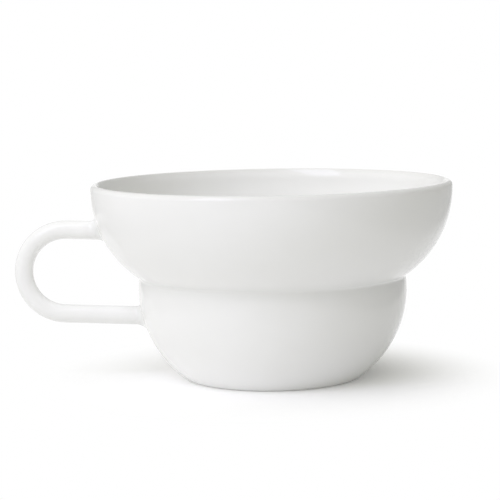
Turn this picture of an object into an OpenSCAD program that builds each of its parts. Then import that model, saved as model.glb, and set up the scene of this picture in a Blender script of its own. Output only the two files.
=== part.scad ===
// Two-tier cup: a wide bowl on a smaller bowl, with a loop handle of round rod.
// Millimetres, +Z up. The origin is on the bowl's axis at the standing face. The handle points along -X.

/* [Bowl] */
// Outer diameter at the rim
rim_d = 110; // [106:1:114]
// Height from the standing face to the top of the lip
cup_h = 60; // [58:1:64]
// Radius of the upper bowl's rounded side
upper_side_r = 32; // [30:1:34]
// Outer diameter of the lower bowl at its widest
lower_d = 82; // [80:1:84]
// Radius of the lower bowl's rounded side
lower_side_r = 33; // [32:1:35]
// Height at which the lower bowl is widest
lower_mid_z = 27.3; // [26.5:0.1:28.5]
// Radius of the crease between the two bowls
crease_r = 1.2; // [0.6:0.1:2]
// Thickness of the wall
wall = 3; // [2.6:0.1:3.2]
// Radius that rounds the outside of the lip
lip_r = 2; // [1.7:0.1:2.2]
// Radius of the taper that thins the inside of the wall towards the lip
lip_taper_r = 6; // [4:0.5:8]

/* [Base] */
// Height of the inside floor above the standing face
floor_z = 4.5; // [4:0.1:6]
// Radius between the inside floor and the wall
floor_edge_r = 10; // [6:1:12]
// Radius that rounds the outer edge of the base
base_edge_r = 2.5; // [2:0.1:3.5]
// Width of the ring that the cup stands on
foot_ring_w = 3; // [2:0.5:5]
// Depth of the hollow inside that ring
foot_hollow = 1.2; // [0.8:0.1:1.6]

/* [Handle] */
// Diameter of the rod
rod_d = 5.6; // [5:0.1:6.5]
// Height of the upper leg at the waist
upper_leg_z = 45; // [43:0.5:46]
// Height of the lower leg at the waist
lower_leg_z = 19; // [18:0.5:21]
// Distance from the bowl's axis to the outside of the loop
handle_reach = 79.4; // [74:0.2:86]
// Angle by which the legs rise away from the bowl
handle_rise = 2; // [0:0.5:4]

/* [Joints] */
// Radius of the upper joint above the rod
upper_joint_top_r = 1.8; // [1:0.1:2.4]
// Radius of the upper joint below the rod
upper_joint_under_r = 2.4; // [1:0.1:3]
// Radius of the lower joint above the rod
lower_joint_top_r = 1.2; // [0.8:0.1:2.4]
// Radius of the lower joint below the rod
lower_joint_under_r = 2.5; // [1:0.1:3]

/* [Hidden] */
$fn = 180;
// Overlap of rounds that just touch, so that no sliver is left between them
lap = 0.0002;
porcelain = [0.95, 0.95, 0.93];

// Centres of the two rounded sides in the half profile, as [distance from the axis, height]
lower_c = [lower_d / 2 - lower_side_r, lower_mid_z];
upper_c = [rim_d / 2 - upper_side_r, cup_h - lip_r];
crease_c = outer_meeting(lower_c, lower_side_r + crease_r, upper_c, upper_side_r + crease_r);
// Distance from the axis to the top of the lip
crest_x = rim_d / 2 - lip_r;
// The round at the inner side of the crest, and the taper that runs from it to the inside of the wall
inner_lip_r = (wall - lip_r) / 2;
inner_lip_c = [crest_x, cup_h - inner_lip_r];
taper_c = outer_meeting(upper_c, upper_side_r - wall + lip_taper_r, inner_lip_c, lip_taper_r - inner_lip_r);

rod_r = rod_d / 2;
loop_r = (upper_leg_z - lower_leg_z) / 2;
// The handle tilts about this point, at the lower bowl's widest radius and midway between the legs
pivot = [-lower_d / 2, 0, (upper_leg_z + lower_leg_z) / 2];
loop_out = handle_reach - rod_r - loop_r - lower_d / 2;

// Steps of the joints: around the rod, along the fillet and along the wall
around = 72;
fillet_steps = 10;
wall_steps = 3;
// Halvings of the reach along a leg, enough to place a joint to a thousandth of a millimetre
halvings = 24;

// The outer one of the two points at distance rp from p and rq from q
function outer_meeting(p, rp, q, rq) =
    let (d = norm(q - p), u = (q - p) / d, along = (d * d + rp * rp - rq * rq) / (2 * d))
    p + along * u + sqrt(rp * rp - along * along) * [u.y, -u.x];

function heading(from, to) = atan2(to.y - from.y, to.x - from.x);

// Centre of the rounded edge between a flat base and a lower side of radius side_r
function edge_centre(side_r, base_z, edge_r) =
    let (drop = lower_c.y - base_z - edge_r)
    [lower_c.x + sqrt(pow(side_r - edge_r, 2) - drop * drop), base_z + edge_r];

// Half profile of both bowls, filled to the axis and set in from the outside by inset
module bowl_fill(inset, base_z, edge_r) {
    side_r = lower_side_r - inset;
    edge_c = edge_centre(side_r, base_z, edge_r);
    polygon([[0, base_z], [edge_c.x, base_z], [edge_c.x, lower_c.y], upper_c, [0, upper_c.y]]);
    intersection() {
        translate(edge_c) circle(edge_r + lap);
        translate([0, base_z]) square(rim_d);
    }
    // The lower side starts where the rounded edge of the base ends
    intersection() {
        translate(lower_c) circle(side_r);
        translate(lower_c) rotate(heading(lower_c, edge_c)) translate([-side_r, 0]) square(2 * side_r);
        square([rim_d, upper_c.y]);
    }
    difference() {
        polygon([lower_c, crease_c, upper_c]);
        translate(crease_c) circle(crease_r + inset + lap);
    }
    intersection() {
        translate(upper_c) circle(upper_side_r - inset);
        square([rim_d, upper_c.y]);
    }
}

// Half profile of the outside, with the rounded lip above the height where the upper side is upright
module outside_profile() {
    bowl_fill(0, 0, base_edge_r);
    translate([crest_x, upper_c.y]) circle(lip_r);
    translate([0, upper_c.y - lip_r]) square([crest_x, 2 * lip_r]);
}

// Half profile of the space inside, which opens along the taper and the inner round of the lip
module inside_profile() {
    taper_z = taper_c.y + lip_taper_r * sin(heading(taper_c, upper_c));
    to_crest = heading(taper_c, inner_lip_c);
    // The round of the crest laps over the taper, which is itself larger by a lap
    crest_lap = 4 * lap;
    bowl_fill(wall, floor_z, floor_edge_r);
    difference() {
        translate([0, taper_z]) square([crest_x, cup_h]);
        translate(taper_c) intersection() {
            circle(lip_taper_r + lap);
            polygon([[0, 0], for (a = [to_crest, 180]) 2 * lip_taper_r * [cos(a), sin(a)]]);
        }
        translate(inner_lip_c - [0, crest_lap]) circle(inner_lip_r + crest_lap);
    }
}

// Half profile of the hollow under the cup, with a rounded side
module foot_hollow_profile() {
    flat_r = edge_centre(lower_side_r, 0, base_edge_r).x - foot_ring_w - foot_hollow;
    square([flat_r, foot_hollow]);
    translate([flat_r, 0]) circle(foot_hollow);
}

module bowl() {
    color(porcelain) rotate_extrude() difference() {
        outside_profile();
        inside_profile();
        foot_hollow_profile();
    }
}

// One straight leg, from the loop to inside the bowl, where the bowl's outside cuts it off
module leg(up) {
    translate([-loop_out, 0, up]) rotate([0, 90, 0]) cylinder(r = rod_r, h = loop_out + rod_d);
}

module handle() {
    color(porcelain) difference() {
        translate(pivot) rotate([0, handle_rise, 0]) {
            leg(loop_r);
            leg(-loop_r);
            translate([-loop_out, 0, 0]) rotate([90, 0, 0]) rotate_extrude(angle = 180, start = 90)
                translate([loop_r, 0]) circle(rod_r);
        }
        rotate_extrude() bowl_fill(0, 0, base_edge_r);
    }
}

// Point on a leg's centre line, at a distance outward from the pivot
function leg_point(up, out) =
    pivot + up * leg_up() - out * [cos(handle_rise), 0, -sin(handle_rise)];
function leg_up() = [sin(handle_rise), 0, cos(handle_rise)];
// Direction away from a leg's centre line, at a turn about it
function leg_away(turn) = cos(turn) * [0, 1, 0] + sin(turn) * leg_up();

// Nearest point to p on the circle that a side's centre makes around the axis
function side_ring(c, p) = let (r = norm([p.x, p.y])) [p.x * c.x / r, p.y * c.x / r, c.y];
function side_away(c, p) = let (v = p - side_ring(c, p)) v / norm(v);
function on_side(c, side_r, p) = side_ring(c, p) + side_r * side_away(c, p);

// Distance outward along a leg at which a point off its centre line is a given gap from the side
function out_to_gap(up, off, c, side_r, gap, low, high, left = halvings) =
    let (mid = (low + high) / 2, p = leg_point(up, mid) + off)
    left == 0 ? mid
    : norm(p - side_ring(c, p)) - side_r < gap ? out_to_gap(up, off, c, side_r, gap, mid, high, left - 1)
    : out_to_gap(up, off, c, side_r, gap, low, mid, left - 1);

// Direction part of the way from a to b, both of length one
function turned(a, b, share) =
    let (angle = acos(a * b))
    (sin((1 - share) * angle) * a + sin(share * angle) * b) / sin(angle);

// One cut through a joint: the round fillet from the rod to the wall, then along the wall back to the rod
function joint_cut(up, c, side_r, fillet_r, turn) =
    let (away = leg_away(turn),
         ball_off = (rod_r + fillet_r) * away,
         ball_out = out_to_gap(up, ball_off, c, side_r, fillet_r, -rod_d, loop_out),
         ball = leg_point(up, ball_out) + ball_off,
         wall_away = side_away(c, ball),
         on_wall = ball - fillet_r * wall_away,
         corner_out = out_to_gap(up, rod_r * away, c, side_r, 0, -rod_d, loop_out),
         corner = leg_point(up, corner_out) + rod_r * away)
    concat(
        [for (i = [0:fillet_steps]) ball + fillet_r * turned(-away, -wall_away, i / fillet_steps)],
        [for (i = [1:wall_steps]) on_side(c, side_r, on_wall + (corner - on_wall) * i / wall_steps)]);

// A ring of cuts around a leg, with the fillet's radius going from top_r above to under_r below
module joint(up, c, side_r, top_r, under_r) {
    cuts = [for (i = [0:around - 1])
        let (turn = 360 * i / around)
        joint_cut(up, c, side_r, (top_r + under_r + (top_r - under_r) * sin(turn)) / 2, turn)];
    n = len(cuts[0]);
    function at(i, k) = (i % around) * n + k % n;
    polyhedron(
        points = [for (cut = cuts) each cut],
        faces = [for (i = [0:around - 1], k = [0:n - 1])
            each [[at(i, k), at(i + 1, k), at(i + 1, k + 1)], [at(i, k), at(i + 1, k + 1), at(i, k + 1)]]]);
}

module upper_joint() {
    color(porcelain) joint(loop_r, upper_c, upper_side_r, upper_joint_top_r, upper_joint_under_r);
}

module lower_joint() {
    color(porcelain) joint(-loop_r, lower_c, lower_side_r, lower_joint_top_r, lower_joint_under_r);
}

bowl();
handle();
upper_joint();
lower_joint();
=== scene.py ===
"""Looks of a two-tier porcelain cup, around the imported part. Metres, +Z up, the handle along -X."""

import math

import bpy
from mathutils import Matrix, Vector

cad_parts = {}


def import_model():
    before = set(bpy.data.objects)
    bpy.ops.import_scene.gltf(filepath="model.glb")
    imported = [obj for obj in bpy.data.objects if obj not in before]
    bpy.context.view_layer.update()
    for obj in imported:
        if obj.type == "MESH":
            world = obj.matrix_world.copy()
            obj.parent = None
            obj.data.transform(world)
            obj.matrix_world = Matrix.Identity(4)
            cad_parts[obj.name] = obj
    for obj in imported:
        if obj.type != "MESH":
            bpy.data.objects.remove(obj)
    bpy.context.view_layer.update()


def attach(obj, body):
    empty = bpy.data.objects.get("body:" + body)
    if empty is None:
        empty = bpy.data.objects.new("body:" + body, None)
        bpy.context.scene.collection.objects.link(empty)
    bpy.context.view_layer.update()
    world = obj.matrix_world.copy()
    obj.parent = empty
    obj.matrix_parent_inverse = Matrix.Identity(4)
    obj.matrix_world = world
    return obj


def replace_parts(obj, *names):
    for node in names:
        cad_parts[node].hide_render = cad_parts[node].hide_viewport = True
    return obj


MM = 0.001
QUARTER = math.pi / 2
SIDE = Vector((0, 1, 0))

# The bowl's half profile, as in the part's source
RIM_R = 55.0 * MM
CUP_H = 60.0 * MM
UPPER_SIDE_R = 32.0 * MM
UPPER_MID_Z = 58.0 * MM
LOWER_R = 41.0 * MM
LOWER_SIDE_R = 33.0 * MM
LOWER_MID_Z = 27.3 * MM
CREASE_R = 1.2 * MM
WALL = 3.0 * MM
LIP_TAPER_R = 6.0 * MM
FLOOR_Z = 4.5 * MM
FLOOR_EDGE_R = 10.0 * MM
BASE_EDGE_R = 2.5 * MM
FOOT_RING_W = 3.0 * MM
FOOT_HOLLOW = 1.2 * MM
# Radii of the lip outside and inside its crest, finer than the part's own lip
LIP_R = 1.5 * MM
INNER_LIP_R = 0.6 * MM

# The handle, as in the part's source
ROD_R = 2.8 * MM
UPPER_LEG_Z = 45.0 * MM
LOWER_LEG_Z = 19.0 * MM
HANDLE_REACH = 79.4 * MM
HANDLE_RISE = math.radians(2.0)
# Radii of the joints above, beside and below the rod, fuller than the part's own joints
UPPER_JOINT_R = (1.8 * MM, 3.4 * MM, 5.0 * MM)
LOWER_JOINT_R = (1.2 * MM, 2.8 * MM, 5.0 * MM)

# The camera's place around the cup, and how far its view turns from there
CAMERA_TURN = math.radians(2.0)
CAMERA_YAW = math.radians(0.70)

# Fineness of the meshes
BOWL_TURNS = 192
ROD_TURNS = 64
JOINT_TURNS = 96
STEP = 1.1 * MM
STEP_ANGLE = math.radians(8.0)
FEWEST_STEPS = 3
FLAT_STEP = 2.2 * MM
LEG_STEP = 1.6 * MM
BEND_STEPS = 48
FILLET_STEPS = 16
WALL_STEPS = 4
HALVINGS = 40

# Reach of the painted shade around the crease, the joints and the foot, where the tint is partly pooled
# glaze, and on the lip
CREASE_SHADE = 1.5 * MM
JOINT_SHADE = 1.6 * MM
LIP_SHADE = 1.2 * MM
FOOT_SHADE = 0.8 * MM


def heading(start, end):
    return math.atan2(end.y - start.y, end.x - start.x)


def outer_meeting(p, rp, q, rq):
    """The outer one of the two points at distance rp from p and rq from q."""
    gap = (q - p).length
    u = (q - p) / gap
    along = (gap * gap + rp * rp - rq * rq) / (2 * gap)
    return p + along * u + math.sqrt(rp * rp - along * along) * Vector((u.y, -u.x))


def edge_centre(side_r, base_z, edge_r):
    """Centre of the rounded edge between a flat base and a lower side of radius side_r."""
    drop = LOWER_C.y - base_z - edge_r
    return Vector((LOWER_C.x + math.sqrt((side_r - edge_r) ** 2 - drop * drop), base_z + edge_r))


LOWER_C = Vector((LOWER_R - LOWER_SIDE_R, LOWER_MID_Z))
UPPER_C = Vector((RIM_R - UPPER_SIDE_R, UPPER_MID_Z))
CREASE_C = outer_meeting(LOWER_C, LOWER_SIDE_R + CREASE_R, UPPER_C, UPPER_SIDE_R + CREASE_R)
LIP_C = Vector((RIM_R - LIP_R, CUP_H - LIP_R))
INNER_LIP_C = Vector((LIP_C.x, CUP_H - INNER_LIP_R))
TAPER_C = outer_meeting(UPPER_C, UPPER_SIDE_R - WALL + LIP_TAPER_R, INNER_LIP_C, LIP_TAPER_R - INNER_LIP_R)
LOOP_R = (UPPER_LEG_Z - LOWER_LEG_Z) / 2
LOOP_OUT = HANDLE_REACH - ROD_R - LOOP_R - LOWER_R
PIVOT = Vector((-LOWER_R, 0, (UPPER_LEG_Z + LOWER_LEG_Z) / 2))
LEG_OUT = Vector((-math.cos(HANDLE_RISE), 0, math.sin(HANDLE_RISE)))
LEG_UP = Vector((math.sin(HANDLE_RISE), 0, math.cos(HANDLE_RISE)))
# The way from the camera to the background, seen from above
BACK = Vector((-math.sin(CAMERA_TURN + CAMERA_YAW), math.cos(CAMERA_TURN + CAMERA_YAW), 0))


def arc(centre, radius, start, end, bulges=True):
    """Points and outward normals along an arc of the half profile. bulges is False for a hollow arc."""
    sweep = abs(end - start)
    count = max(FEWEST_STEPS, math.ceil(sweep / STEP_ANGLE), math.ceil(sweep * radius / STEP))
    out = []
    for i in range(count + 1):
        a = start + (end - start) * i / count
        u = Vector((math.cos(a), math.sin(a)))
        out.append((centre + radius * u, u if bulges else -u))
    return out


def straight(start, end, normal):
    """Points and normals along a straight stretch of the half profile."""
    count = max(1, math.ceil((end - start).length / FLAT_STEP))
    return [(start.lerp(end, i / count), normal) for i in range(count + 1)]


def bowl_profile():
    """Stretches of the half profile, from the middle underneath round the lip to the middle inside."""
    base_c = edge_centre(LOWER_SIDE_R, 0, BASE_EDGE_R)
    floor_c = edge_centre(LOWER_SIDE_R - WALL, FLOOR_Z, FLOOR_EDGE_R)
    hollow_c = Vector((base_c.x - FOOT_RING_W - FOOT_HOLLOW, 0))
    to_base = heading(LOWER_C, base_c)
    to_floor = heading(LOWER_C, floor_c)
    lower_crease = heading(LOWER_C, CREASE_C)
    upper_crease = heading(UPPER_C, CREASE_C)
    crease_low = lower_crease + math.pi
    crease_high = upper_crease + math.pi
    taper_high = heading(TAPER_C, INNER_LIP_C)
    taper_low = heading(TAPER_C, UPPER_C)
    down, up, out = Vector((0, -1)), Vector((0, 1)), Vector((1, 0))
    glazed_under = [
        straight(Vector((0, FOOT_HOLLOW)), Vector((hollow_c.x, FOOT_HOLLOW)), down),
        arc(hollow_c, FOOT_HOLLOW, QUARTER, 0, False),
    ]
    bare = [straight(Vector((hollow_c.x + FOOT_HOLLOW, 0)), Vector((base_c.x, 0)), down)]
    glazed = [
        arc(base_c, BASE_EDGE_R, -QUARTER, to_base),
        arc(LOWER_C, LOWER_SIDE_R, to_base, lower_crease),
        arc(CREASE_C, CREASE_R, crease_low, crease_high, False),
        arc(UPPER_C, UPPER_SIDE_R, upper_crease, 0),
        straight(Vector((RIM_R, UPPER_MID_Z)), Vector((RIM_R, LIP_C.y)), out),
        arc(LIP_C, LIP_R, 0, QUARTER),
        arc(INNER_LIP_C, INNER_LIP_R, QUARTER, taper_high),
        arc(TAPER_C, LIP_TAPER_R, taper_high, taper_low),
        arc(UPPER_C, UPPER_SIDE_R - WALL, heading(UPPER_C, TAPER_C), upper_crease, False),
        arc(CREASE_C, CREASE_R + WALL, crease_high, crease_low),
        arc(LOWER_C, LOWER_SIDE_R - WALL, lower_crease, to_floor, False),
        arc(floor_c, FLOOR_EDGE_R, to_floor, -QUARTER, False),
        straight(Vector((floor_c.x, FLOOR_Z)), Vector((0, FLOOR_Z)), up),
    ]
    return glazed_under, bare, glazed


def near(distance, reach):
    """1 at no distance, fading to 0 over about twice the reach."""
    return math.exp(-((distance / reach) ** 2))


def painted_shade_depth(p):
    """How much shade is painted on: about 1 in the crease, at the joints and at the foot, where the glaze
    also pools, and -1 on the lip.
    """
    out = math.hypot(p[0], p[1])
    depth = near((Vector((out, p[2])) - CREASE_C).length - CREASE_R, CREASE_SHADE)
    for root, (_, _, _, (_, beside_r, _)) in zip(ROOTS, JOINTS):
        depth += near((Vector(p) - root).length - ROD_R - beside_r / 2, JOINT_SHADE)
    depth += near(p[2], FOOT_SHADE)
    return depth - near(CUP_H - p[2], LIP_SHADE)


def mesh_piece(name, verts, faces, normals, materials, face_materials=None):
    """A smooth mesh object. normals has one normal for each corner of each face."""
    mesh = bpy.data.meshes.new(name)
    mesh.from_pydata(verts, [], faces)
    mesh.polygons.foreach_set("use_smooth", [True] * len(faces))
    for m in materials:
        mesh.materials.append(m)
    if face_materials:
        mesh.polygons.foreach_set("material_index", face_materials)
    depth = mesh.attributes.new("painted_shade_depth", "FLOAT", "POINT")
    depth.data.foreach_set("value", [painted_shade_depth(v) for v in verts])
    mesh.update()
    mesh.normals_split_custom_set([n for face in normals for n in face])
    piece = bpy.data.objects.new(name, mesh)
    bpy.context.scene.collection.objects.link(piece)
    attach(piece, "root")
    return piece


def bowl_piece(glaze, bare):
    """The bowl, turned from its half profile, with the ring that it stands on left bare."""
    glazed_under, bare_ring, glazed = bowl_profile()
    glaze_slot, bare_slot = 0, 1
    stretches = [(s, glaze_slot) for s in glazed_under]
    stretches += [(s, bare_slot) for s in bare_ring]
    stretches += [(s, glaze_slot) for s in glazed]
    first_point, _ = glazed_under[0][0]
    points, bands = [first_point], []
    for stretch, slot in stretches:
        for (_, n0), (p1, n1) in zip(stretch, stretch[1:]):
            points.append(p1)
            bands.append((n0, n1, slot))
    turns = [2 * math.pi * i / BOWL_TURNS for i in range(BOWL_TURNS)]
    rays = [(math.cos(a), math.sin(a)) for a in turns]
    verts = [(0, 0, points[0].y)]
    for p in points[1:-1]:
        verts += [(p.x * c, p.x * s, p.y) for c, s in rays]
    verts.append((0, 0, points[-1].y))

    def spun(n, i):
        c, s = rays[i % BOWL_TURNS]
        return (n.x * c, n.x * s, n.y)

    def at(ring, i):
        if ring == 0:
            return 0
        if ring == len(points) - 1:
            return len(verts) - 1
        return 1 + (ring - 1) * BOWL_TURNS + i % BOWL_TURNS

    faces, normals, slots = [], [], []
    for ring, (n0, n1, slot) in enumerate(bands):
        for i in range(BOWL_TURNS):
            corners = [(at(ring, i), spun(n0, i)), (at(ring, i + 1), spun(n0, i + 1)),
                       (at(ring + 1, i + 1), spun(n1, i + 1)), (at(ring + 1, i), spun(n1, i))]
            # On the axis two corners are one point, and the face is a triangle
            if corners[0][0] == corners[1][0]:
                corners.pop(1)
            elif corners[2][0] == corners[3][0]:
                corners.pop(3)
            faces.append([v for v, _ in corners])
            normals.append([n for _, n in corners])
            slots.append(slot)
    return mesh_piece("bowl_glazed", verts, faces, normals, [glaze, bare], slots)


def leg_point(up, out):
    """Point on a leg's centre line, at a distance outward from the pivot."""
    return PIVOT + up * LEG_UP + out * LEG_OUT


def side_ring(c, p):
    """Nearest point to p on the circle that a side's centre makes around the axis."""
    r = math.hypot(p.x, p.y)
    return Vector((p.x * c.x / r, p.y * c.x / r, c.y))


def out_to_gap(up, off, c, side_r, gap):
    """Distance outward along a leg at which a point off its centre line is a given gap from the side."""
    low, high = -2 * ROD_R, LOOP_OUT
    for _ in range(HALVINGS):
        mid = (low + high) / 2
        p = leg_point(up, mid) + off
        if (p - side_ring(c, p)).length - side_r < gap:
            low = mid
        else:
            high = mid
    return low


def rod_away(i, up):
    """Direction from the rod's centre to the i-th line along it. up is the way to the loop's outside."""
    t = 2 * math.pi * i / ROD_TURNS
    return math.cos(t) * SIDE + math.sin(t) * up


def rod_rim(up, c, side_r, outside):
    """Where each line along a leg meets the bowl."""
    rim = []
    for i in range(ROD_TURNS):
        off = ROD_R * rod_away(i, outside)
        rim.append(leg_point(up, out_to_gap(up, off, c, side_r, 0)) + off)
    return rim


def leg_rings(rim, end):
    """Rings along a leg, from its rim on the bowl up to the loop's first ring, which is left out."""
    count = math.ceil((end[0] - rim[0]).length / LEG_STEP)
    return [[a.lerp(b, k / count) for a, b in zip(rim, end)] for k in range(count)]


def handle_piece(glaze):
    """The loop of round rod, from the upper bowl to the lower bowl."""
    bend_c = leg_point(0, LOOP_OUT)
    bend = []
    for k in range(BEND_STEPS + 1):
        a = math.pi * k / BEND_STEPS
        away = math.cos(a) * LEG_UP + math.sin(a) * LEG_OUT
        ring = [bend_c + LOOP_R * away + ROD_R * rod_away(i, away) for i in range(ROD_TURNS)]
        bend.append((ring, away))
    upper = leg_rings(rod_rim(LOOP_R, UPPER_C, UPPER_SIDE_R, LEG_UP), bend[0][0])
    lower = leg_rings(rod_rim(-LOOP_R, LOWER_C, LOWER_SIDE_R, -LEG_UP), bend[-1][0])
    rings = [(r, LEG_UP) for r in upper] + bend + [(r, -LEG_UP) for r in reversed(lower)]
    verts = [p for ring, _ in rings for p in ring]
    faces, normals = [], []
    for k in range(len(rings) - 1):
        for i in range(ROD_TURNS):
            j = (i + 1) % ROD_TURNS
            corners = [(k, i), (k + 1, i), (k + 1, j), (k, j)]
            faces.append([ring * ROD_TURNS + line for ring, line in corners])
            normals.append([rod_away(line, rings[ring][1]) for ring, line in corners])
    last = (len(rings) - 1) * ROD_TURNS
    faces.append(list(range(ROD_TURNS)))
    faces.append([last + i for i in reversed(range(ROD_TURNS))])
    normals += [[-LEG_OUT] * ROD_TURNS] * 2
    return mesh_piece("handle_glazed", verts, faces, normals, [glaze])


def joint_cut(up, c, side_r, fillet_r, away):
    """Points and normals of a cut through a joint: the fillet, the wall and the rod's end."""
    ball_off = (ROD_R + fillet_r) * away
    ball = leg_point(up, out_to_gap(up, ball_off, c, side_r, fillet_r)) + ball_off
    ring = side_ring(c, ball)
    wall_away = (ball - ring).normalized()
    on_wall = ring + side_r * wall_away
    corner = leg_point(up, out_to_gap(up, ROD_R * away, c, side_r, 0)) + ROD_R * away
    angle = away.angle(wall_away)
    fillet = []
    for i in range(FILLET_STEPS + 1):
        share = i / FILLET_STEPS
        u = (math.sin((1 - share) * angle) * away + math.sin(share * angle) * wall_away) / math.sin(angle)
        fillet.append((ball - fillet_r * u, u))
    back = []
    for i in range(WALL_STEPS + 1):
        p = on_wall.lerp(corner, i / WALL_STEPS)
        n = (p - side_ring(c, p)).normalized()
        back.append((side_ring(c, p) + side_r * n, -n))
    return fillet, back, [(corner, -away), (fillet[0][0], -away)]


def joint_piece(name, up, c, side_r, radii, glaze):
    """The ring of slip round a leg's end. radii are the fillet's above, beside and below the rod."""
    top_r, beside_r, under_r = radii
    mean_r, half_change = (top_r + under_r) / 2, (top_r - under_r) / 2
    cuts = []
    for i in range(JOINT_TURNS):
        turn = 2 * math.pi * i / JOINT_TURNS
        away = math.cos(turn) * SIDE + math.sin(turn) * LEG_UP
        rise = math.sin(turn)
        fillet_r = beside_r + half_change * rise + (mean_r - beside_r) * rise * rise
        cuts.append(joint_cut(up, c, side_r, fillet_r, away))
    verts = []
    for fillet, back, _ in cuts:
        verts += [p for p, _ in fillet] + [p for p, _ in back[1:]]
    n = FILLET_STEPS + 1 + WALL_STEPS
    faces, normals = [], []
    for i, cut in enumerate(cuts):
        j = (i + 1) % JOINT_TURNS
        k = 0
        for stretch, following in zip(cut, cuts[j]):
            for a, b, a2, b2 in zip(stretch, stretch[1:], following, following[1:]):
                faces.append([i * n + k % n, j * n + k % n, j * n + (k + 1) % n, i * n + (k + 1) % n])
                normals.append([a[1], a2[1], b2[1], b[1]])
                k += 1
    return mesh_piece(name, verts, faces, normals, [glaze])


# Each joint's height on the handle, the side of the bowl that it meets, and its fillet's radii
JOINTS = [
    (LOOP_R, UPPER_C, UPPER_SIDE_R, UPPER_JOINT_R),
    (-LOOP_R, LOWER_C, LOWER_SIDE_R, LOWER_JOINT_R),
]
# Where each leg's centre line meets the bowl
ROOTS = [leg_point(up, out_to_gap(up, Vector(), c, side_r, 0)) for up, c, side_r, _ in JOINTS]


def material(name):
    """A new material, its node tree and its main shader."""
    mat = bpy.data.materials.new(name)
    mat.use_nodes = True
    return mat, mat.node_tree, mat.node_tree.nodes["Principled BSDF"]


def add_node(tree, kind, inputs=None, **settings):
    """A new shader node. inputs are values or other nodes' outputs, by socket."""
    made = tree.nodes.new("ShaderNode" + kind)
    for name, value in settings.items():
        setattr(made, name, value)
    for socket, value in (inputs or {}).items():
        if isinstance(value, bpy.types.NodeSocket):
            tree.links.new(value, made.inputs[socket])
        else:
            made.inputs[socket].default_value = value
    return made


def noise(tree, place, scale, detail, squeeze=(1, 1, 1)):
    """Soft noise over the object, scale in waves per metre."""
    stretched = add_node(tree, "Mapping", {"Vector": place, "Scale": squeeze})
    inputs = {"Vector": stretched.outputs["Vector"], "Scale": scale, "Detail": detail}
    return add_node(tree, "TexNoise", inputs).outputs["Fac"]


def spread(tree, value, low, high, to_low=0.0, to_high=1.0):
    """A value eased from the range low to high into another range."""
    inputs = {"Value": value, "From Min": low, "From Max": high, "To Min": to_low, "To Max": to_high}
    return add_node(tree, "MapRange", inputs, interpolation_type="SMOOTHSTEP").outputs["Result"]


def blend_colour(tree, share, first, second):
    """A colour between two, each a colour or another node's output."""
    first_socket, second_socket, result = 6, 7, 2
    made = add_node(tree, "Mix", {"Factor": share}, data_type="RGBA")
    for socket, colour in ((first_socket, first), (second_socket, second)):
        if isinstance(colour, bpy.types.NodeSocket):
            tree.links.new(colour, made.inputs[socket])
        else:
            made.inputs[socket].default_value = (*colour, 1)
    return made.outputs[result]


def relief(tree, height, depth, below=None):
    """A bump of the given depth in metres, over another one."""
    inputs = {"Height": height, "Distance": depth}
    if below:
        inputs["Normal"] = below
    return add_node(tree, "Bump", inputs).outputs["Normal"]


def glaze_material():
    """Clear gloss over white porcelain: faint clouds, painted shade in the crease, at the joints and at the
    foot (partly pooled glaze), painted shade on the lip, and a slightly wavy skin.
    """
    white, cloudy = (0.970, 0.970, 0.964), (0.958, 0.958, 0.949)
    # Painted shade, partly pooled glaze: a darker tint in the crease, at the joints and at the foot
    pooled_shade, most_pooled_shade = (0.910, 0.918, 0.904), 0.25
    # Painted shade on the lip: its top is darkened so that it reads no brighter than the body
    lip_shade, most_lip_shade = (0.870, 0.865, 0.850), 0.65
    smoothest, dullest = 0.03, 0.08
    wave_depth, peel_depth = 0.02 * MM, 0.002 * MM
    mat, tree, main = material("glazed_porcelain")
    place = add_node(tree, "TexCoord").outputs["Object"]
    depth = add_node(tree, "Attribute", attribute_name="painted_shade_depth").outputs["Fac"]
    clouds = spread(tree, noise(tree, place, scale=45.0, detail=3.0), low=0.35, high=0.65)
    colour = blend_colour(tree, clouds, white, cloudy)
    pool_shading = spread(tree, depth, low=0.1, high=1.0, to_high=most_pooled_shade)
    colour = blend_colour(tree, pool_shading, colour, pooled_shade)
    lip_shading = spread(tree, depth, low=-0.1, high=-1.0, to_high=most_lip_shade)
    colour = blend_colour(tree, lip_shading, colour, lip_shade)
    tree.links.new(colour, main.inputs["Base Color"])
    wiped = noise(tree, place, scale=60.0, detail=4.0, squeeze=(1.0, 1.0, 3.0))
    dullness = spread(tree, wiped, low=0.3, high=0.7, to_low=smoothest, to_high=dullest)
    tree.links.new(dullness, main.inputs["Roughness"])
    waves = relief(tree, noise(tree, place, scale=70.0, detail=1.0), wave_depth)
    peel = relief(tree, noise(tree, place, scale=520.0, detail=2.0), peel_depth, waves)
    tree.links.new(peel, main.inputs["Normal"])
    main.inputs["IOR"].default_value = 1.5
    return mat


def bare_material():
    """Unglazed porcelain of the foot ring: matt, fine-grained and a little rubbed."""
    clean, worn = (0.80, 0.785, 0.755), (0.70, 0.69, 0.67)
    clean_roughness, worn_roughness = 0.85, 0.65
    grain_depth = 0.02 * MM
    mat, tree, main = material("bare_porcelain")
    place = add_node(tree, "TexCoord").outputs["Object"]
    rubbed = spread(tree, noise(tree, place, scale=160.0, detail=4.0), low=0.45, high=0.75)
    tree.links.new(blend_colour(tree, rubbed, clean, worn), main.inputs["Base Color"])
    dullness = spread(tree, rubbed, low=0.0, high=1.0, to_low=clean_roughness, to_high=worn_roughness)
    tree.links.new(dullness, main.inputs["Roughness"])
    grain = relief(tree, noise(tree, place, scale=2600.0, detail=2.0), grain_depth)
    tree.links.new(grain, main.inputs["Normal"])
    return mat


def seen_ray(tree):
    """1 for the rays that show the background: from the camera, in gloss and through glass."""
    path = add_node(tree, "LightPath")
    total = path.outputs["Is Camera Ray"]
    for name in ("Is Glossy Ray", "Is Transmission Ray"):
        total = add_node(tree, "Math", {0: total, 1: path.outputs[name]}, use_clamp=True).outputs["Value"]
    return total


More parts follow.
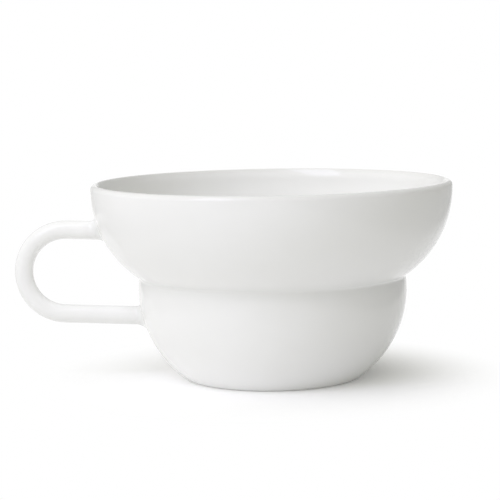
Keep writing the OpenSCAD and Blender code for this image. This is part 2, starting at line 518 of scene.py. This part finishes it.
def seen_tone(tree, way, nearest):
    """White along a strip that widens from the distance nearest on, and light grey beside it."""
    white_half, grey_half, grey = math.radians(9), math.radians(13), 0.64
    ahead = add_node(tree, "VectorMath", {0: way, 1: BACK}, operation="DOT_PRODUCT").outputs["Value"]
    across = add_node(tree, "VectorMath", {0: way, 1: BACK}, operation="CROSS_PRODUCT").outputs["Vector"]
    aside = add_node(tree, "VectorMath", {0: across}, operation="LENGTH").outputs["Value"]
    reach = add_node(tree, "Math", {0: ahead, 1: nearest}, operation="MAXIMUM").outputs["Value"]
    slope = add_node(tree, "Math", {0: aside, 1: reach}, operation="DIVIDE").outputs["Value"]
    return spread(tree, slope, math.tan(white_half), math.tan(grey_half), to_low=1.0, to_high=grey)


def floor_piece():
    """A pale floor: plain and shaded near the cup, and seen as the bright background further out."""
    half, pale, glow = 4.0, (0.92, 0.92, 0.92, 1), 0.15
    shade_start, shade_end, strip_start = 30 * MM, 75 * MM, 620 * MM
    mat, tree, main = material("studio_floor")
    tree.nodes.remove(main)
    place = add_node(tree, "NewGeometry").outputs["Position"]
    away = add_node(tree, "VectorMath", {0: place}, operation="LENGTH").outputs["Value"]
    plain = add_node(tree, "BsdfDiffuse", {"Color": pale}).outputs["BSDF"]
    lift = add_node(tree, "Emission", {"Strength": glow}).outputs["Emission"]
    near_cup = add_node(tree, "AddShader", {0: plain, 1: lift}).outputs["Shader"]
    along = add_node(tree, "VectorMath", {0: place, 1: strip_start * BACK}).outputs["Vector"]
    far_out = add_node(tree, "Emission", {"Color": seen_tone(tree, along, strip_start)}).outputs["Emission"]
    fade = spread(tree, away, shade_start, shade_end)
    seen = add_node(tree, "MixShader", {0: fade, 1: near_cup, 2: far_out}).outputs["Shader"]
    mix = add_node(tree, "MixShader", {0: seen_ray(tree), 1: plain, 2: seen}).outputs["Shader"]
    tree.links.new(mix, tree.nodes["Material Output"].inputs["Surface"])
    mesh = bpy.data.meshes.new("floor")
    corners = [(-half, -half, 0), (half, -half, 0), (half, half, 0), (-half, half, 0)]
    mesh.from_pydata(corners, [], [range(len(corners))])
    mesh.materials.append(mat)
    floor = bpy.data.objects.new("floor", mesh)
    bpy.context.scene.collection.objects.link(floor)


def camera():
    """The photograph's view, from just above the rim with the handle at the left."""
    away, height = 551.9 * MM, 102.4 * MM
    pitch, roll = math.radians(6.56), math.radians(0.92)
    focal_pixels, image_pixels = 1815.2, 500
    level = Vector((-math.sin(CAMERA_YAW), math.cos(CAMERA_YAW), 0))
    forward = math.cos(pitch) * level - math.sin(pitch) * Vector((0, 0, 1))
    level_right = Vector((math.cos(CAMERA_YAW), math.sin(CAMERA_YAW), 0))
    level_up = level_right.cross(forward)
    right = math.cos(roll) * level_right - math.sin(roll) * level_up
    up = math.sin(roll) * level_right + math.cos(roll) * level_up
    data = bpy.data.cameras.new("camera")
    data.lens = data.sensor_width * focal_pixels / image_pixels
    data.clip_start = 10 * MM
    cam = bpy.data.objects.new("camera", data)
    axes = Matrix((right, up, -forward)).transposed().to_4x4()
    cam.matrix_world = Matrix.Rotation(CAMERA_TURN, 4, "Z") @ Matrix.Translation((0, -away, height)) @ axes
    bpy.context.scene.collection.objects.link(cam)
    bpy.context.scene.camera = cam


def way_to(azimuth, elevation):
    """The way out from the cup, in degrees. Azimuth 0 is towards the camera and 90 to its right."""
    a, e = math.radians(azimuth), math.radians(elevation)
    return Vector((math.sin(a) * math.cos(e), -math.cos(a) * math.cos(e), math.sin(e)))


def key_light():
    """One tall softbox high on the camera's left, a little blue, aimed at the cup."""
    width, height, distance = 0.58, 1.15, 1.4
    data = bpy.data.lights.new("key", "AREA")
    data.shape = "RECTANGLE"
    data.size = width
    data.size_y = height
    data.energy = 5.6
    data.color = (0.79, 0.78, 1.0)
    at = way_to(-39, 45) * distance
    target = Vector((0, 0, CUP_H / 2))
    light = bpy.data.objects.new("key", data)
    light.matrix_world = Matrix.Translation(target + at) @ at.to_track_quat("Z", "Y").to_matrix().to_4x4()
    bpy.context.scene.collection.objects.link(light)


def world():
    """A dome of soft light, brightest high on the camera's left, seen as the plain background."""
    bright, dim = (1.17, 1.17, 1.08), (0.02, 0.02, 0.015)
    bright_way = way_to(-54, 57)
    room = bpy.data.worlds.new("studio")
    bpy.context.scene.world = room
    room.use_nodes = True
    tree = room.node_tree
    dome = tree.nodes["Background"]
    way = add_node(tree, "TexCoord").outputs["Generated"]
    share = add_node(tree, "VectorMath", {0: way, 1: bright_way}, operation="DOT_PRODUCT").outputs["Value"]
    tree.links.new(blend_colour(tree, share, dim, bright), dome.inputs["Color"])
    backdrop = add_node(tree, "Background", {"Color": seen_tone(tree, way, nearest=MM)})
    shaders = {1: dome.outputs["Background"], 2: backdrop.outputs["Background"]}
    mix = add_node(tree, "MixShader", {0: seen_ray(tree), **shaders}).outputs["Shader"]
    tree.links.new(mix, tree.nodes["World Output"].inputs["Surface"])


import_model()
glaze, bare = glaze_material(), bare_material()
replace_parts(bowl_piece(glaze, bare), "bowl")
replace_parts(handle_piece(glaze), "handle")
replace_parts(joint_piece("upper_slip", *JOINTS[0], glaze), "upper_joint")
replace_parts(joint_piece("lower_slip", *JOINTS[1], glaze), "lower_joint")
floor_piece()
camera()
key_light()
world()
bpy.context.scene.cycles.diffuse_bounces = 12
bpy.context.scene.view_settings.view_transform = "Standard"
